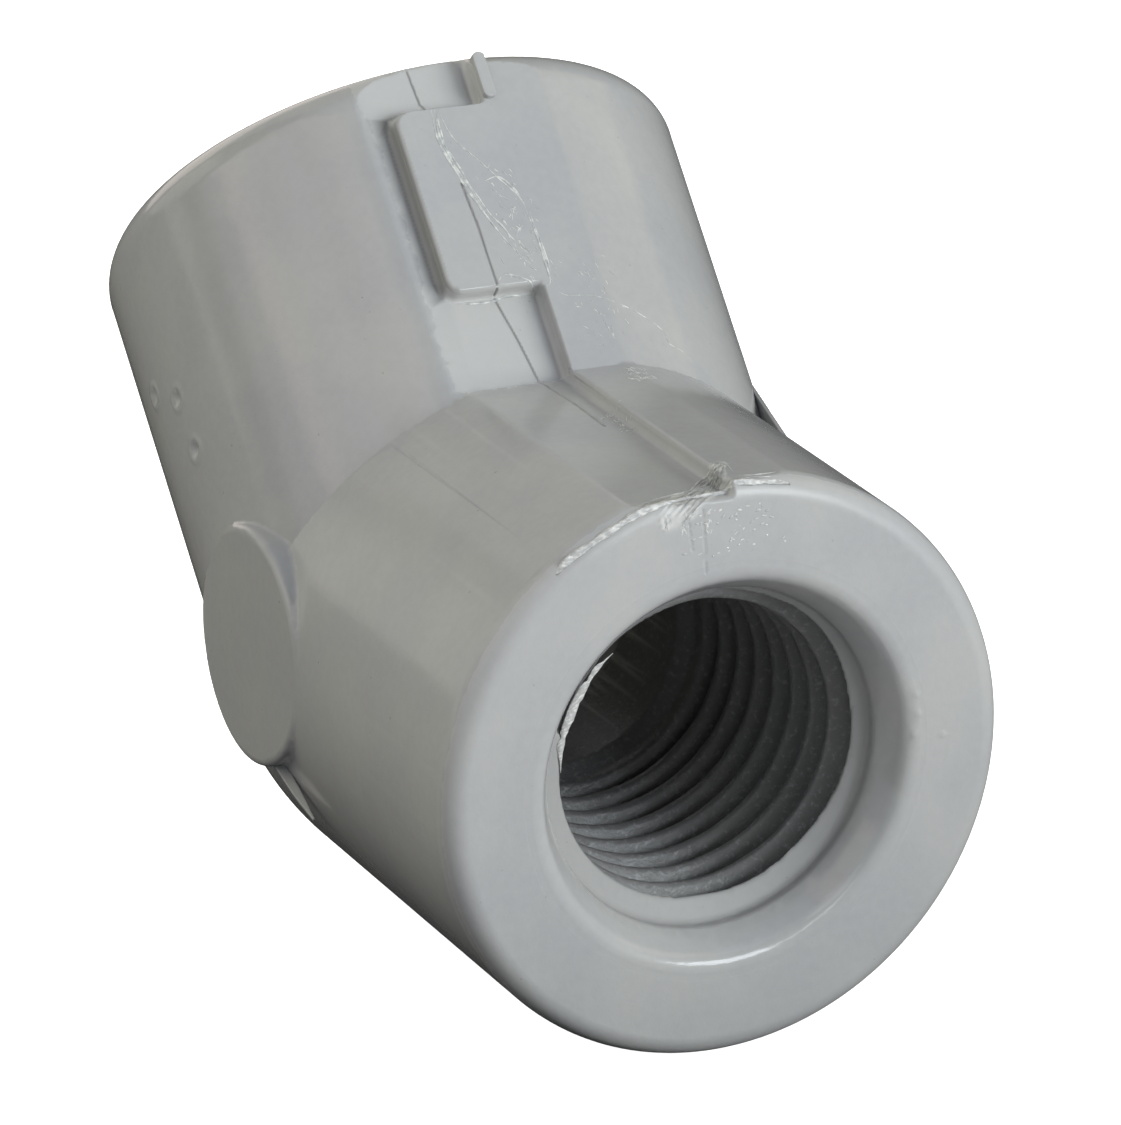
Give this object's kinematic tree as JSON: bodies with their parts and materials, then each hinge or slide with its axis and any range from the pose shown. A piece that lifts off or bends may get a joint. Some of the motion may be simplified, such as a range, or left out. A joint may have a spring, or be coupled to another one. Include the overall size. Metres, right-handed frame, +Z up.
{
  "type": "threaded pipe elbow",
  "caption": "Grey moulded 45 degree pipe elbow with a thick-walled female taper thread at each end, for irrigation and small water lines.",
  "frame": {"origin": "centre of the inlet's end face", "axes": "the inlet's axis is Y and its mouth looks along -Y; the outlet rises at 45 degrees towards +Y and +Z in the plane x = 0; +Z is up"},
  "size_m": [0.0224, 0.0384, 0.0316],
  "materials": {
    "grey_pvc": "rigid PVC as moulded, satin to glossy, with a few scuffs",
    "torn_pvc": "the same PVC, thin and torn, whitened where it was broken off"
  },
  "bodies": {
    "root": {"elbow_body": "grey_pvc", "gate_stub": "torn_pvc", "rim_flash": "torn_pvc", "lip_flash": "torn_pvc", "bend_fin": "grey_pvc", "crease_web": "grey_pvc"}
  },
  "joints": []
}
